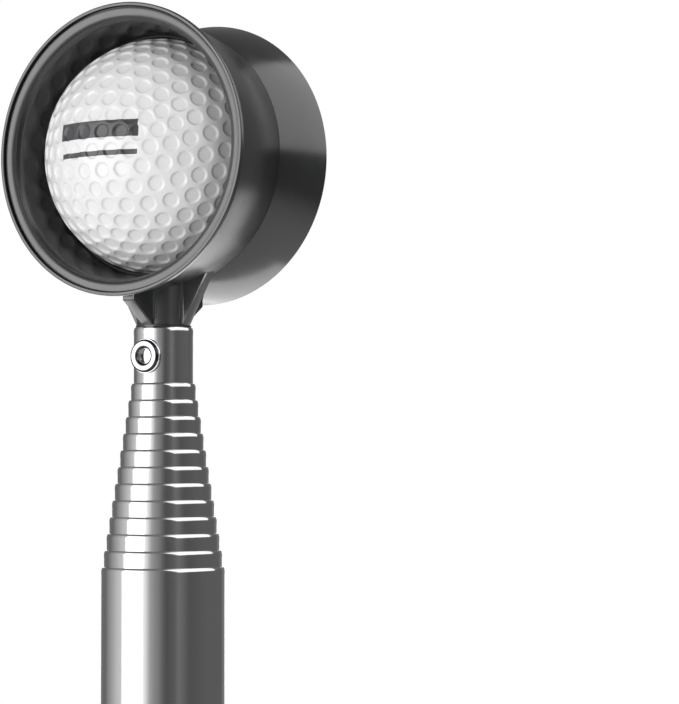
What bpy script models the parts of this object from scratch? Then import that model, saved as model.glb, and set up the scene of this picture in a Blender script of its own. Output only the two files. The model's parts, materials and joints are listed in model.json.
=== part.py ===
"""Golf ball retriever: a ring-type scoop head on a telescopic steel pole of thirteen tubes.

Everything stands on the butt of the handle: the pole's axis is +Z, its origin is the centre of
the end cap's flat face, and the mouth of the scoop looks along -Y. Lengths are in millimetres
until they reach Blender, which gets metres.
"""

from math import cos, pi, radians, sin

import bmesh
import bpy
from mathutils import Matrix, Vector

MM = 0.001

# ---- driving dimensions, in millimetres -------------------------------------------------------
BALL_R = 42.67 / 2

TUBES = 13                  # telescopic sections, tube_01 innermost and tube_13 outermost
TUBE_01_R = 10.64 / 2
TUBE_R_STEP = 0.475
TUBE_WALL = 0.26
TUBE_SIDES = 24
STEP_PITCH = 2.98           # how far each section stands out of the next when closed
COLLAR_H = 10.05            # how far tube_01 stands out of tube_02 when closed
OUTER_TUBE_TOP = 330.0
TRAVEL = 270.0              # slide of each section
LIP_DROP = 0.55             # underside of a rolled lip, below the tube's top
LIP_TAPER = 0.35            # height over which the lip's underside meets the bore
LIP_GAP = 0.06
SLEEVE_LENGTH = 24.0
SLEEVE_GAP = 0.02
SLEEVE_WALL = 0.15
FOOT_H = 1.0

RING_ABOVE_COLLAR = 30.75
LIP_R = 25.9                # front lip of the head, outside
LIP_Y = -14.3
LIP_CREST_R = 25.26         # inner edge of the thin lip
LIP_DEPTH = 1.3             # from the mouth to where the cone's outside starts
SHOULDER_R = 0.82           # round shoulder inside the lip
SHOULDER_MID_R = 24.62
SHOULDER_DROP = 0.38        # its top, behind the mouth
BACK_R = 25.87              # rear edge of the head, outside
BACK_Y = 14.2
WAIST_R = 23.0
WAIST_Y = 2.65
THROAT_R = 21.65            # inside, where the ball passes
LAP_R = 22.28               # where the rear half's spigot sits in the front half
LAP_GAP = 0.05
LAP_LENGTH = 1.75
HEAD_SIDES = 48
BALL_SIDES = 28

SPRING_Y = 3.3              # retaining springs, before and behind the ball's equator
SPRING_WIRE_R = 0.3
SPRING_INNER_R = 21.22
GROOVE_R = 22.05
GROOVE_HALF = 0.45

POST_R = 4.8
GUSSET_THICK = 2.35
GUSSET_REACH_Y = 11.1
GUSSET_REACH_X = 10.85
SIDE_WEB_TOP = 20.0         # fore-and-aft gussets, below the ring's centre
SIDE_WEB_CORNER = 26.45
CROSS_WEB_TOP = 18.0        # left and right gussets, below the ring's centre
CROSS_WEB_CORNER = 19.9
GUSSET_FOOT_R = 5.05
GUSSET_FOOT_H = 0.25        # where the gussets end, above the collar
PLUG_R = 4.92
PLUG_DEPTH = 16.0
SHELL_CLEARANCE = 0.15      # between the bracket and the rear funnel

RIVET_DEPTH = 5.3           # rivet's axis below the collar's top
RIVET_R = 1.9
RIVET_BORE_R = 1.45
RIVET_HOLE_R = 2.0
RIVET_HEAD_R = 2.95
RIVET_HEAD_H = 0.5
RIVET_TAIL_R = 2.35
RIVET_SIDES = 24
WASHER_R = 3.15
WASHER_THICK = 0.35

GRIP_R = 14.2
GRIP_TOP = 214.0
CAP_H = 12.0
PLUG_TOP = 18.0
REST_GAP = 0.3

# ---- derived places ---------------------------------------------------------------------------
TUBE_FOOT = PLUG_TOP + REST_GAP
OUTER_R = TUBE_01_R + TUBE_R_STEP * (TUBES - 1)
COLLAR_TOP = OUTER_TUBE_TOP + STEP_PITCH * (TUBES - 2) + COLLAR_H
RING_Z = COLLAR_TOP + RING_ABOVE_COLLAR
RIVET_Z = COLLAR_TOP - RIVET_DEPTH


def tube_radius(number):
    return TUBE_01_R + TUBE_R_STEP * (number - 1)


def tube_top(number):
    if number == 1:
        return COLLAR_TOP
    return OUTER_TUBE_TOP + STEP_PITCH * (TUBES - number)


# ---- scene helpers ----------------------------------------------------------------------------
def clear_scene():
    for old in list(bpy.data.objects):
        bpy.data.objects.remove(old, do_unlink=True)


def new_collection(name):
    collection = bpy.data.collections.new(name)
    bpy.context.scene.collection.children.link(collection)
    return collection


clear_scene()
PARTS = new_collection("golf_ball_retriever")
CUTTERS = new_collection("cutters")
CUTTERS.hide_render = True


def material(name, color, roughness, metallic=0.0):
    made = bpy.data.materials.new(name)
    made.use_nodes = True
    shader = made.node_tree.nodes["Principled BSDF"]
    shader.inputs["Base Color"].default_value = (*color, 1.0)
    shader.inputs["Roughness"].default_value = roughness
    shader.inputs["Metallic"].default_value = metallic
    made.diffuse_color = (*color, 1.0)
    return made


def add_object(name, mesh, place, finish=None, collection=PARTS):
    made = bpy.data.objects.new(name, mesh)
    made.location = Vector(place) * MM
    collection.objects.link(made)
    if finish is not None:
        mesh.materials.append(finish)
    return made


def turned(name, profile, sides, place, finish=None, axis="Z", collection=PARTS):
    """A solid of revolution. The profile is a closed loop of (radius, height) in millimetres, or
    an open one whose two ends are on the axis, running down its outer side from top to bottom."""
    mesh = bpy.data.meshes.new(name)
    bm = bmesh.new()
    points = [bm.verts.new((radius * MM, 0.0, height * MM)) for radius, height in profile]
    for first, second in zip(points, points[1:]):
        bm.edges.new((first, second))
    if profile[0][0] > 0.0:
        bm.edges.new((points[-1], points[0]))
    bm.to_mesh(mesh)
    bm.free()
    made = add_object(name, mesh, place, finish, collection)
    screw = made.modifiers.new("turn", "SCREW")
    screw.axis = "Z"
    screw.angle = 2 * pi
    screw.steps = sides
    screw.render_steps = sides
    screw.use_merge_vertices = True
    screw.merge_threshold = 1e-6
    if axis == "Y":
        made.rotation_euler = (radians(90), 0.0, 0.0)
    return made


def extruded(name, outline, thickness, normal, place):
    """A flat plate: outline in (across, up) millimetres, thickness centred on the plate's plane."""
    curve = bpy.data.curves.new(name, "CURVE")
    curve.dimensions = "2D"
    curve.fill_mode = "BOTH"
    curve.extrude = thickness * MM / 2
    spline = curve.splines.new("POLY")
    spline.points.add(len(outline) - 1)
    for point, (across, up) in zip(spline.points, outline):
        point.co = (across * MM, up * MM, 0.0, 1.0)
    spline.use_cyclic_u = True
    drawn = bpy.data.objects.new(name, curve)
    drawn.matrix_world = Matrix.Translation(Vector(place) * MM) @ normal.to_4x4()
    CUTTERS.objects.link(drawn)
    return as_mesh(drawn)


def as_mesh(drawn):
    """Replaces a curve object by a closed mesh object in the same place."""
    bpy.context.view_layer.update()
    graph = bpy.context.evaluated_depsgraph_get()
    mesh = bpy.data.meshes.new_from_object(drawn.evaluated_get(graph))
    bm = bmesh.new()
    bm.from_mesh(mesh)
    bmesh.ops.remove_doubles(bm, verts=bm.verts, dist=1e-6)
    bmesh.ops.recalc_face_normals(bm, faces=bm.faces)
    bm.to_mesh(mesh)
    bm.free()
    name = drawn.name
    place = drawn.matrix_world.copy()
    bpy.data.objects.remove(drawn, do_unlink=True)
    made = bpy.data.objects.new(name, mesh)
    made.matrix_world = place
    CUTTERS.objects.link(made)
    return helper(made)


def helper(obj):
    """Marks an object as one that only shapes another."""
    obj.hide_render = True
    obj.display_type = "WIRE"
    return obj


def settle(obj, angle=32.0):
    """Stores the object's evaluated shape as its mesh, shaded smooth between its edges."""
    graph = bpy.context.evaluated_depsgraph_get()
    mesh = bpy.data.meshes.new_from_object(obj.evaluated_get(graph))
    mesh.name = obj.name
    obj.modifiers.clear()
    obj.data = mesh
    for face in mesh.polygons:
        face.use_smooth = True
    mesh.set_sharp_from_angle(angle=radians(angle))


def combine(target, other, operation):
    step = target.modifiers.new(other.name, "BOOLEAN")
    step.operation = operation
    step.object = other
    step.solver = "EXACT"


# ---- materials --------------------------------------------------------------------------------
GRAPHITE = material("graphite_plastic", (0.055, 0.057, 0.06), 0.38)
GRAPHITE_REAR = material("graphite_plastic_rear", (0.055, 0.057, 0.06), 0.36)
STEEL = material("polished_steel", (0.62, 0.62, 0.63), 0.16, 1.0)
SPRING_STEEL = material("black_spring_steel", (0.06, 0.06, 0.065), 0.4, 1.0)
CHROME = material("chrome_rivet", (0.8, 0.8, 0.82), 0.08, 1.0)
WASHER_STEEL = material("washer_steel", (0.7, 0.7, 0.72), 0.14, 1.0)
BALL_WHITE = material("ball_cover", (0.86, 0.86, 0.86), 0.3)
SHIM_BRASS = material("shim_brass", (0.72, 0.55, 0.25), 0.35, 1.0)
GRIP_RUBBER = material("grip_rubber", (0.03, 0.03, 0.032), 0.75)
TRIM_PLASTIC = material("trim_plastic", (0.05, 0.05, 0.055), 0.4)
PLUG_NYLON = material("plug_nylon", (0.5, 0.5, 0.5), 0.5)
CAP_RUBBER = material("cap_rubber", (0.04, 0.04, 0.042), 0.7)
SCREW_STEEL = material("screw_steel", (0.55, 0.55, 0.57), 0.3, 1.0)


# ---- the telescopic pole ----------------------------------------------------------------------
def tube_profile(number):
    """Straight wall, rolled-in lip with a round shoulder, swaged foot at the bottom."""
    radius = tube_radius(number)
    bore = radius - TUBE_WALL
    top = tube_top(number)
    lip = tube_radius(number - 1) + LIP_GAP if number > 1 else PLUG_R + LIP_GAP
    outside = [
        (lip, top),
        (radius - 0.3, top - 0.06),
        (radius - 0.07, top - 0.45),
        (radius, top - 0.9),
    ]
    if number < TUBES:
        flange = radius + SLEEVE_GAP + SLEEVE_WALL
        foot = [(radius, TUBE_FOOT + FOOT_H), (flange, TUBE_FOOT)]
        bottom = TUBE_FOOT
    else:
        foot = [(radius, CAP_H / 2)]
        bottom = CAP_H / 2
    inside = [(bore, bottom), (bore, top - LIP_DROP - LIP_TAPER), (lip, top - LIP_DROP)]
    return outside + foot + inside


def build_tubes():
    tubes = {}
    for number in range(1, TUBES + 1):
        name = f"tube_{number:02d}"
        tubes[number] = turned(name, tube_profile(number), TUBE_SIDES, (0, 0, 0), STEEL)
    hole = turned(
        "rivet_hole",
        [(0.0, 12.0), (RIVET_HOLE_R, 12.0), (RIVET_HOLE_R, -12.0), (0.0, -12.0)],
        RIVET_SIDES, (0, 0, RIVET_Z), axis="Y", collection=CUTTERS,
    )
    combine(tubes[1], helper(hole), "DIFFERENCE")
    return hole


def build_sleeves():
    """A thin shim on each sliding tube. Its top edge meets the next tube's lip at full travel."""
    for number in range(1, TUBES):
        inner = tube_radius(number) + SLEEVE_GAP
        outer = inner + SLEEVE_WALL
        top = tube_top(number + 1) - LIP_DROP - LIP_TAPER - TRAVEL
        bottom = top - SLEEVE_LENGTH
        profile = [(outer, top), (outer, bottom), (inner, bottom), (inner, top)]
        turned(f"friction_sleeve_{number:02d}", profile, TUBE_SIDES, (0, 0, 0), SHIM_BRASS)


# ---- the head ---------------------------------------------------------------------------------
def groove(at):
    """Retaining spring's groove in an inside wall, met while going towards the mouth."""
    return [
        (THROAT_R, at - GROOVE_HALF),
        (GROOVE_R, at - GROOVE_HALF),
        (GROOVE_R, at + GROOVE_HALF),
        (THROAT_R, at + GROOVE_HALF),
    ]


def front_shell_profile():
    """Heights are depths towards the mouth: +Z of the profile turns to -Y of the object."""
    mouth = -LIP_Y
    waist = -WAIST_Y
    outside = [
        (LIP_R - 0.35, mouth),
        (LIP_R - 0.08, mouth - 0.12),
        (LIP_R, mouth - 0.4),
        (LIP_R - 0.1, mouth - 0.95),
        (LIP_R - 0.7, mouth - LIP_DEPTH),
        (WAIST_R, waist),
        (LAP_R, waist),
        (LAP_R, waist + LAP_LENGTH),
    ]
    shoulder_top = mouth - SHOULDER_DROP
    shoulder_inner = SHOULDER_MID_R - SHOULDER_R
    inside = [(THROAT_R, waist + LAP_LENGTH)] + groove(SPRING_Y) + [
        (shoulder_inner - 0.85, mouth - 2.6),
        (shoulder_inner - 0.05, mouth - 1.7),
        (shoulder_inner, shoulder_top - SHOULDER_R),
        (SHOULDER_MID_R - 0.7 * SHOULDER_R, shoulder_top - 0.3 * SHOULDER_R),
        (SHOULDER_MID_R, shoulder_top),
        (SHOULDER_MID_R + 0.45, shoulder_top - 0.12),
        (LIP_CREST_R - 0.14, shoulder_top - 0.42),
        (LIP_CREST_R, mouth - 0.1),
    ]
    return outside + inside


def rear_shell_profile():
    back = -BACK_Y
    waist = -WAIST_Y - LAP_GAP
    spigot_r = LAP_R - LAP_GAP
    outside = [
        (spigot_r, waist + LAP_LENGTH - LAP_GAP),
        (spigot_r, waist),
        (WAIST_R + 0.02, waist),
        (BACK_R - 0.02, back + 0.5),
        (BACK_R, back + 0.3),
        (BACK_R - 0.3, back),
    ]
    inside = [(BACK_R - 0.95, back), (BACK_R - 1.2, back + 0.3)] + [
        (THROAT_R + 0.05, -SPRING_Y - GROOVE_HALF - 0.7),
        *groove(-SPRING_Y),
        (THROAT_R, waist + LAP_LENGTH - LAP_GAP),
    ]
    return outside + inside


def envelope_profile():
    """What the bracket must stay out of: the head's inside, from the middle of the front half's
    wall, and the whole rear half with some room round it."""
    wall_middle = 0.4
    split = -WAIST_Y + 0.25
    rear_rise = (BACK_R - WAIST_R) / (BACK_Y - WAIST_Y)
    room = WAIST_R + SHELL_CLEARANCE
    reach = 4.0
    return [
        (0.0, -LIP_Y + reach),
        (LIP_R - 0.7 - wall_middle, -LIP_Y + reach),
        (LIP_R - 0.7 - wall_middle, -LIP_Y - LIP_DEPTH),
        (WAIST_R - wall_middle, split),
        (room, split),
        (room + rear_rise * (BACK_Y - WAIST_Y + reach), -BACK_Y - reach),
        (0.0, -BACK_Y - reach),
    ]


def bracket_side_outline():
    """The fore-and-aft web, in (Y, Z) from the ring's centre. Its top is cut by the envelope."""
    foot = GUSSET_FOOT_H - RING_ABOVE_COLLAR
    return [
        (-GUSSET_REACH_Y, -SIDE_WEB_TOP),
        (GUSSET_REACH_Y, -SIDE_WEB_TOP),
        (GUSSET_REACH_Y, -SIDE_WEB_CORNER),
        (GUSSET_FOOT_R, foot),
        (-GUSSET_FOOT_R, foot),
        (-GUSSET_REACH_Y, -SIDE_WEB_CORNER),
    ]


def bracket_cross_outline():
    """The left-right web, in (X, Z) from the ring's centre. Its top is cut by the envelope."""
    foot = GUSSET_FOOT_H - RING_ABOVE_COLLAR
    return [
        (-GUSSET_REACH_X, -CROSS_WEB_TOP),
        (GUSSET_REACH_X, -CROSS_WEB_TOP),
        (GUSSET_REACH_X, -CROSS_WEB_CORNER),
        (GUSSET_FOOT_R, foot),
        (-GUSSET_FOOT_R, foot),
        (-GUSSET_REACH_X, -CROSS_WEB_CORNER),
    ]


def build_bracket():
    """Post, four gussets and the plug in the top tube, as one shape to join to the head."""
    centre = (0, 0, RING_Z)
    facing_x = Matrix(((0, 0, 1), (1, 0, 0), (0, 1, 0)))
    facing_y = Matrix(((1, 0, 0), (0, 0, -1), (0, 1, 0)))
    side_web = extruded("side_web", bracket_side_outline(), GUSSET_THICK, facing_x, centre)
    cross_web = extruded("cross_web", bracket_cross_outline(), GUSSET_THICK, facing_y, centre)
    bracket = turned(
        "bracket",
        [
            (0.0, RING_Z - CROSS_WEB_TOP),
            (POST_R, RING_Z - CROSS_WEB_TOP),
            (POST_R, COLLAR_TOP + 0.2),
            (PLUG_R, COLLAR_TOP + 0.1),
            (PLUG_R, COLLAR_TOP - PLUG_DEPTH + 0.6),
            (PLUG_R - 0.5, COLLAR_TOP - PLUG_DEPTH),
            (0.0, COLLAR_TOP - PLUG_DEPTH),
        ],
        TUBE_SIDES, (0, 0, 0), collection=CUTTERS,
    )
    envelope = turned("envelope", envelope_profile(), HEAD_SIDES, centre, axis="Y", collection=CUTTERS)
    combine(bracket, side_web, "UNION")
    combine(bracket, cross_web, "UNION")
    combine(bracket, helper(envelope), "DIFFERENCE")
    return helper(bracket)


def build_head(rivet_hole):
    centre = (0, 0, RING_Z)
    front = turned("front_funnel", front_shell_profile(), HEAD_SIDES, centre, GRAPHITE, axis="Y")
    combine(front, build_bracket(), "UNION")
    combine(front, rivet_hole, "DIFFERENCE")
    turned("rear_funnel", rear_shell_profile(), HEAD_SIDES, centre, GRAPHITE_REAR, axis="Y")


def build_springs():
    """Two wire rings in the head's grooves, whose inner edge stands just inside the throat."""
    for name, at in (("front_retaining_spring", -SPRING_Y), ("rear_retaining_spring", SPRING_Y)):
        middle = SPRING_INNER_R + SPRING_WIRE_R
        profile = []
        for corner in range(6):
            angle = pi / 2 - corner * pi / 3
            profile.append((middle + SPRING_WIRE_R * cos(angle), SPRING_WIRE_R * sin(angle)))
        turned(name, profile, HEAD_SIDES, (0, at, RING_Z), SPRING_STEEL, axis="Y")


def build_ball():
    mesh = bpy.data.meshes.new("golf_ball")
    bm = bmesh.new()
    bmesh.ops.create_uvsphere(bm, u_segments=BALL_SIDES, v_segments=BALL_SIDES // 2, radius=BALL_R * MM)
    bmesh.ops.rotate(bm, verts=bm.verts, cent=(0, 0, 0), matrix=Matrix.Rotation(pi / 2, 3, "X"))
    bm.to_mesh(mesh)
    bm.free()
    add_object("golf_ball", mesh, (0, 0, RING_Z), BALL_WHITE)


def build_rivet():
    """Hollow rivet through the top tube and the head's plug: a headed end on a washer at the
    front, and an end rolled over on the tube at the back."""
    seat = TUBE_01_R + 0.1
    under = seat + WASHER_THICK + 0.03
    front = under + RIVET_HEAD_H
    profile = [
        (RIVET_BORE_R + 0.15, front),
        (RIVET_HEAD_R - 0.25, front),
        (RIVET_HEAD_R, front - 0.22),
        (RIVET_HEAD_R, under + 0.08),
        (RIVET_HEAD_R - 0.1, under),
        (RIVET_R, under),
        (RIVET_R, -seat),
        (RIVET_TAIL_R, -seat),
        (RIVET_TAIL_R, -seat - 0.15),
        (RIVET_BORE_R + 0.45, -seat - 0.4),
        (RIVET_BORE_R, -seat - 0.2),
        (RIVET_BORE_R, front - 0.15),
    ]
    turned("head_rivet", profile, RIVET_SIDES, (0, 0, RIVET_Z), CHROME, axis="Y")
    high = seat + WASHER_THICK
    ring = [
        (WASHER_R - 0.1, high),
        (WASHER_R, high - 0.1),
        (WASHER_R, seat + 0.1),
        (WASHER_R - 0.1, seat),
        (RIVET_HOLE_R, seat),
        (RIVET_HOLE_R, high),
    ]
    turned("rivet_washer", ring, RIVET_SIDES, (0, 0, RIVET_Z), WASHER_STEEL, axis="Y")


# ---- the handle -------------------------------------------------------------------------------
def build_grip():
    """Rubber sleeve with shallow ring grooves, between the end cap and the collar."""
    bore = OUTER_R + 0.1
    bottom = CAP_H + REST_GAP
    ring_count = 7
    first = 46.0
    pitch = 21.0
    outline = [(GRIP_R - 1.6, GRIP_TOP), (GRIP_R - 0.5, GRIP_TOP - 1.0), (GRIP_R - 0.3, GRIP_TOP - 3.0)]
    for ring in reversed(range(ring_count)):
        middle = first + ring * pitch
        outline += [
            (GRIP_R, middle + 1.6),
            (GRIP_R - 0.7, middle + 0.8),
            (GRIP_R - 0.7, middle - 0.8),
            (GRIP_R, middle - 1.6),
        ]
    outline += [(GRIP_R, bottom), (bore, bottom), (bore, GRIP_TOP)]
    turned("grip", outline, TUBE_SIDES, (0, 0, 0), GRIP_RUBBER)


def build_grip_collar():
    bore = OUTER_R + 0.1
    low = GRIP_TOP + REST_GAP
    high = low + 9.0
    profile = [
        (bore + 0.9, high),
        (bore + 1.4, high - 0.5),
        (GRIP_R - 0.9, low + 1.5),
        (GRIP_R - 0.9, low + 0.4),
        (GRIP_R - 1.3, low),
        (bore, low),
        (bore, high),
    ]
    turned("grip_collar", profile, TUBE_SIDES, (0, 0, 0), TRIM_PLASTIC)


def build_butt_plug():
    """Nylon plug in the outer tube: it takes the end screw, and the closed sections rest on it."""
    body_r = OUTER_R - TUBE_WALL - 0.08
    low = 4.0
    profile = [
        (0.0, PLUG_TOP),
        (body_r - 0.8, PLUG_TOP),
        (body_r, PLUG_TOP - 0.8),
        (body_r, CAP_H / 2 - REST_GAP),
        (OUTER_R + 0.6, CAP_H / 2 - REST_GAP),
        (OUTER_R + 0.6, low),
        (1.35, low),
        (1.35, PLUG_TOP - 3.0),
        (0.0, PLUG_TOP - 3.0),
    ]
    turned("butt_plug", profile, TUBE_SIDES, (0, 0, 0), PLUG_NYLON)


def build_end_cap():
    """Rubber cup on the tube's lower end, flat underneath, with a recess for the screw's head."""
    rim = OUTER_R + 0.7
    outer = GRIP_R + 0.5
    floor = 4.0 - REST_GAP
    profile = [
        (rim, CAP_H),
        (outer - 0.6, CAP_H),
        (outer, CAP_H - 0.6),
        (outer, 1.6),
        (outer - 0.5, 0.45),
        (outer - 1.6, 0.0),
        (3.4, 0.0),
        (3.4, 2.2),
        (1.8, 2.2),
        (1.8, floor),
        (rim, floor),
    ]
    turned("end_cap", profile, TUBE_SIDES, (0, 0, 0), CAP_RUBBER)


def build_end_screw():
    head_low = 0.4
    head_high = 2.1
    screw = turned(
        "end_screw",
        [
            (0.0, 13.5),
            (0.7, 13.5),
            (1.25, 12.6),
            (1.25, head_high),
            (3.0, head_high),
            (3.0, head_low + 0.5),
            (2.5, head_low),
            (0.0, head_low),
        ],
        TUBE_SIDES, (0, 0, 0), SCREW_STEEL,
    )
    for number, turn in enumerate((0.0, pi / 2)):
        bpy.ops.mesh.primitive_cube_add(size=1.0, location=(0.0, 0.0, head_low * MM))
        slot = bpy.context.active_object
        slot.name = f"cross_slot_{number}"
        slot.dimensions = (3.6 * MM, 0.7 * MM, 1.6 * MM)
        slot.rotation_euler = (0.0, 0.0, turn)
        for holder in list(slot.users_collection):
            holder.objects.unlink(slot)
        CUTTERS.objects.link(slot)
        combine(screw, helper(slot), "DIFFERENCE")


def build_object():
    rivet_hole = build_tubes()
    build_sleeves()
    build_head(rivet_hole)
    build_springs()
    build_ball()
    build_rivet()
    build_grip()
    build_grip_collar()
    build_butt_plug()
    build_end_cap()
    build_end_screw()
    for piece in PARTS.objects:
        settle(piece)


build_object()
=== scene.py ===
"""Looks of the golf ball retriever: fine turned meshes, node materials, studio light and camera."""
import json
from math import cos, degrees, pi, radians, sin, sqrt

import bmesh
import bpy
import numpy as np
from mathutils import Matrix, Vector

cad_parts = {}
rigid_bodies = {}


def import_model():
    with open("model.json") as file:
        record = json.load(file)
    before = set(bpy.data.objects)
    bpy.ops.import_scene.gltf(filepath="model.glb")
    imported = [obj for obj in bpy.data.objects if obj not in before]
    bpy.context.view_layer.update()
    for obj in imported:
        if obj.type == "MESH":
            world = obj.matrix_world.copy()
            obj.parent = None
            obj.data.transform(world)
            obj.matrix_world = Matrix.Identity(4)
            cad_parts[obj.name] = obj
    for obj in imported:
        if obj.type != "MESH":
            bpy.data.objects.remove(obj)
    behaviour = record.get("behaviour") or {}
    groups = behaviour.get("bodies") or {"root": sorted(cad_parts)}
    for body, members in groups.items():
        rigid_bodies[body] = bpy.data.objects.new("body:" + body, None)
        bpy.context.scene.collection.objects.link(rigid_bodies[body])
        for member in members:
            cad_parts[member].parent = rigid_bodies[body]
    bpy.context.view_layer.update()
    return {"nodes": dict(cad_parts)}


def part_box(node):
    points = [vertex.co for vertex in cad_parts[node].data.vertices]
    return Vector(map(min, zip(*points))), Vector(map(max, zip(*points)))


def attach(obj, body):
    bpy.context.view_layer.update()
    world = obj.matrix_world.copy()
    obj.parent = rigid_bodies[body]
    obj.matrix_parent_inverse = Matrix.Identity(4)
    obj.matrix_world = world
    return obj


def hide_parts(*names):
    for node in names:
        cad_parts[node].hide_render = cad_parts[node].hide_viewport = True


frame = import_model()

MM = 0.001

# ---- the frame's places ------------------------------------------------------------------------
BALL_LOW, BALL_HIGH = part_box("golf_ball")
BALL_R = (BALL_HIGH[2] - BALL_LOW[2]) / 2
RING = Vector((0.0, 0.0, (BALL_HIGH[2] + BALL_LOW[2]) / 2))
POLE_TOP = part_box("tube_01")[1][2]
TUBES = sum(name.startswith("tube_") for name in frame["nodes"])
RIVET_Z = sum(corner[2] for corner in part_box("head_rivet")) / 2

# sizes that the pieces' boxes don't show
FOOT_PROUD = 0.17 * MM          # swaged foot, outside a sliding tube's wall
BEAD_PROUD = 0.03 * MM          # bead under the lip of every tube
WALL = 0.26 * MM                # of every tube
LIP_GAP = 0.06 * MM             # between a tube's lip and what is inside it
PLUG_R = 4.92 * MM              # plug of the head, inside the top tube


def tube_span(number):
    """Outer radius, bottom and top of a tube, from its box."""
    low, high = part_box(f"tube_{number:02d}")
    proud = FOOT_PROUD if number < TUBES else 0.0
    return high[0] - proud, low[2], high[2]


# ---- meshes ------------------------------------------------------------------------------------
def arc(centre, radius, start, end, steps):
    """Points of an arc in a profile, angles in degrees from the +radius direction."""
    found = []
    for step in range(steps + 1):
        angle = radians(start + (end - start) * step / steps)
        found.append((centre[0] + radius * cos(angle), centre[1] + radius * sin(angle)))
    return found


def link(name, mesh, body, finish, smooth_angle=38.0):
    """A mesh as a piece of the scene that moves with a body."""
    made = bpy.data.objects.new(name, mesh)
    bpy.context.scene.collection.objects.link(made)
    mesh.materials.append(finish)
    mesh.shade_smooth()
    mesh.set_sharp_from_angle(angle=radians(smooth_angle))
    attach(made, body)
    return made


def lathe_mesh(name, profile, sides, facing_mouth=False, centre=(0.0, 0.0, 0.0)):
    """Turns a closed (radius, height) loop, in metres, round Z, or round -Y for facing_mouth.
    Points with radius 0 become one vertex on the axis."""
    mesh = bpy.data.meshes.new(name)
    bm = bmesh.new()
    rings = []
    for radius, height in profile:
        if radius <= 0.0:
            rings.append([bm.verts.new((0.0, 0.0, height))])
            continue
        ring = []
        for side in range(sides):
            angle = 2 * pi * side / sides
            ring.append(bm.verts.new((radius * cos(angle), radius * sin(angle), height)))
        rings.append(ring)
    for first, second in zip(rings, rings[1:] + rings[:1]):
        if len(first) == 1 and len(second) == 1:
            continue
        for side in range(sides):
            after = (side + 1) % sides
            corners = [first[side % len(first)], second[side % len(second)]]
            if len(second) > 1:
                corners.append(second[after])
            if len(first) > 1:
                corners.append(first[after])
            bm.faces.new(corners)
    bmesh.ops.recalc_face_normals(bm, faces=bm.faces)
    if facing_mouth:
        bmesh.ops.rotate(bm, verts=bm.verts, cent=(0, 0, 0), matrix=Matrix.Rotation(pi / 2, 3, "X"))
    bmesh.ops.translate(bm, verts=bm.verts, vec=Vector(centre))
    bm.to_mesh(mesh)
    bm.free()
    return mesh


def plate_mesh(name, outline, thickness, matrix, bevel):
    """A flat outline with thickness, its plane turned by matrix, its edges bevelled."""
    mesh = bpy.data.meshes.new(name)
    bm = bmesh.new()
    low = [bm.verts.new((x, y, -thickness / 2)) for x, y in outline]
    face = bm.faces.new(low)
    grown = bmesh.ops.extrude_face_region(bm, geom=[face])
    raised = [item for item in grown["geom"] if isinstance(item, bmesh.types.BMVert)]
    bmesh.ops.translate(bm, verts=raised, vec=(0, 0, thickness))
    bmesh.ops.recalc_face_normals(bm, faces=bm.faces)
    sharp = [edge for edge in bm.edges if edge.calc_face_angle(0.0) > radians(25)]
    bmesh.ops.bevel(bm, geom=sharp, offset=bevel, segments=1, profile=0.5, affect="EDGES")
    bmesh.ops.transform(bm, matrix=matrix, verts=bm.verts)
    bm.to_mesh(mesh)
    bm.free()
    return mesh


def joined(name, meshes):
    """Several meshes as one."""
    bm = bmesh.new()
    for mesh in meshes:
        bm.from_mesh(mesh)
    made = bpy.data.meshes.new(name)
    bm.to_mesh(made)
    bm.free()
    return made


def in_mm(points):
    """Points given in mm, in metres."""
    return [(radius * MM, height * MM) for radius, height in points]


# ---- materials ---------------------------------------------------------------------------------
class NodeTree:
    """A node tree, with short calls to add and link its nodes."""

    def __init__(self, tree):
        self.tree = tree

    def add(self, kind, **settings):
        node = self.tree.nodes.new(kind)
        for key, value in settings.items():
            setattr(node, key, value)
        return node

    def link(self, output, socket):
        self.tree.links.new(output, socket)

    def ramp(self, value, low, high, start=0.3, end=0.7, shape="LINEAR"):
        """Maps a value's range from start to end to numbers from low to high."""
        node = self.add("ShaderNodeMapRange", interpolation_type=shape)
        node.inputs["From Min"].default_value = start
        node.inputs["From Max"].default_value = end
        node.inputs["To Min"].default_value = low
        node.inputs["To Max"].default_value = high
        self.link(value, node.inputs["Value"])
        return node.outputs["Result"]

    def math(self, operation, first, second=0.0, third=0.0):
        node = self.add("ShaderNodeMath", operation=operation)
        for socket, value in zip(node.inputs, (first, second, third)):
            if isinstance(value, (int, float)):
                socket.default_value = value
            else:
                self.link(value, socket)
        return node.outputs["Value"]

    def axes(self, vector):
        """A vector's X, Y and Z."""
        node = self.add("ShaderNodeSeparateXYZ")
        self.link(vector, node.inputs["Vector"])
        return [node.outputs[axis] for axis in "XYZ"]

    def mix(self, factor, first, second):
        """A blend of two colors, each a socket or three numbers."""
        node = self.add("ShaderNodeMix", data_type="RGBA")
        colors = [socket for socket in node.inputs if socket.type == "RGBA"]
        for socket, value in zip(colors, (first, second)):
            if isinstance(value, tuple):
                socket.default_value = (*value, 1.0)
            else:
                self.link(value, socket)
        self.link(factor, node.inputs[0])
        return [socket for socket in node.outputs if socket.type == "RGBA"][0]

    def blend(self, factor, first, second, output):
        """A blend of two shaders as the surface of the tree's output node."""
        node = self.add("ShaderNodeMixShader")
        for value, socket in zip((factor, first, second), node.inputs):
            self.link(value, socket)
        self.link(node.outputs["Shader"], self.tree.nodes[output].inputs["Surface"])


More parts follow.
